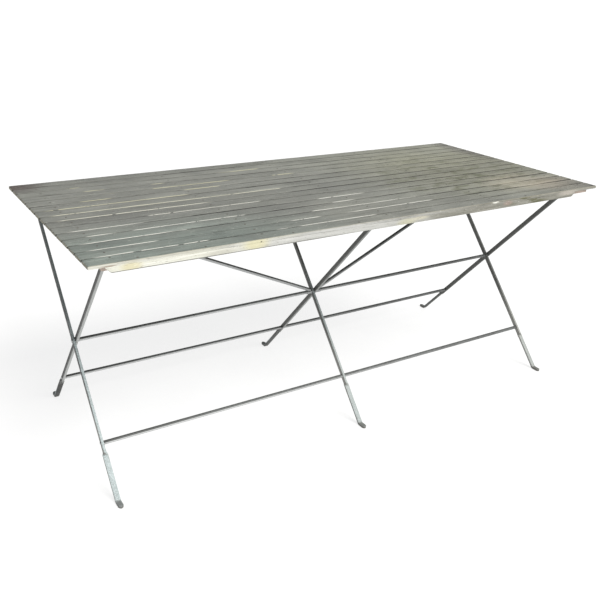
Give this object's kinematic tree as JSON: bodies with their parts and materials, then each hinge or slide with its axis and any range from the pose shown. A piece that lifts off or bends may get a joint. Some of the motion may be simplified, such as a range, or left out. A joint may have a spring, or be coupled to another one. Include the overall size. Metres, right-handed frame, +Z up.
{
  "type": "folding garden table",
  "caption": "Slatted wooden table top on crossed flat-bar steel legs that fold on one tie rod, braced by two slanting round stays.",
  "frame": {"origin": "on the floor under the middle of the table top", "axes": "+X along the table, +Y towards the rear edge where the legs are hinged to the top, +Z up"},
  "size_m": [1.812, 0.812, 0.75],
  "materials": {
    "weathered_slats": "bare, silvered and slightly mossy from weather",
    "weathered_battens": "bare, less weathered than the slats",
    "rail_wood": "bare, with lichen and bleached patches",
    "galvanised_steel": "dull galvanised steel",
    "fitting_steel": "dull galvanised sheet and turned steel",
    "nail_steel": "dark, lightly rusted"
  },
  "bodies": {
    "front_foot_frame": {"front_leg_left": "galvanised_steel", "front_leg_middle": "galvanised_steel", "front_leg_right": "galvanised_steel", "front_stretcher": "galvanised_steel", "pivot_rod": "galvanised_steel", "pivot_tube_left": "galvanised_steel", "pivot_tube_right": "galvanised_steel", "pivot_washers": "fitting_steel"},
    "rear_foot_frame": {"rear_leg_left": "galvanised_steel", "rear_leg_middle": "galvanised_steel", "rear_leg_right": "galvanised_steel", "rear_stretcher": "galvanised_steel"},
    "stay_left": {"stay_left": "galvanised_steel"},
    "stay_right": {"stay_right": "galvanised_steel"},
    "tabletop": {"batten_far_left": "weathered_battens", "batten_far_right": "weathered_battens", "batten_left": "weathered_battens", "batten_middle": "weathered_battens", "batten_right": "weathered_battens", "fitting_screws": "nail_steel", "front_rail": "rail_wood", "hinge_bracket_left": "fitting_steel", "hinge_bracket_middle": "fitting_steel", "hinge_bracket_right": "fitting_steel", "hinge_pins": "fitting_steel", "leg_socket_left": "fitting_steel", "leg_socket_middle": "fitting_steel", "leg_socket_right": "fitting_steel", "rail_nails": "nail_steel", "slat_01": "weathered_slats", "slat_02": "weathered_slats", "slat_03": "weathered_slats", "slat_04": "weathered_slats", "slat_05": "weathered_slats", "slat_06": "weathered_slats", "slat_07": "weathered_slats", "slat_08": "weathered_slats", "slat_09": "weathered_slats", "slat_10": "weathered_slats", "slat_11": "weathered_slats", "slat_12": "weathered_slats", "slat_13": "weathered_slats", "slat_14": "weathered_slats", "slat_15": "weathered_slats", "slat_nails": "nail_steel", "stay_saddle_left": "fitting_steel", "stay_saddle_right": "fitting_steel"}
  },
  "joints": [
    {"name": "top_lift", "type": "hinge", "parent": "front_foot_frame", "child": "tabletop", "pos_m": [0, 0.3108, 0.711], "axis": [-1, 0, 0], "range_deg": [0, 128]},
    {"name": "leg_fold", "type": "hinge", "parent": "front_foot_frame", "child": "rear_foot_frame", "pos_m": [0, 0.003, 0.369], "axis": [-1, 0, 0], "range_deg": [0, 80]},
    {"name": "stay_left_fold", "type": "hinge", "parent": "front_foot_frame", "child": "stay_left", "pos_m": [-0.0187, 0.003, 0.369], "axis": [-1, 0, 0], "range_deg": [0, 40]},
    {"name": "stay_right_fold", "type": "hinge", "parent": "front_foot_frame", "child": "stay_right", "pos_m": [0.0187, 0.003, 0.369], "axis": [-1, 0, 0], "range_deg": [0, 40]}
  ],
  "couplings": [
    {"joint": "leg_fold", "follows": "top_lift", "ratio": 0.625},
    {"joint": "stay_left_fold", "follows": "top_lift", "ratio": 0.3125},
    {"joint": "stay_right_fold", "follows": "top_lift", "ratio": 0.3125}
  ]
}
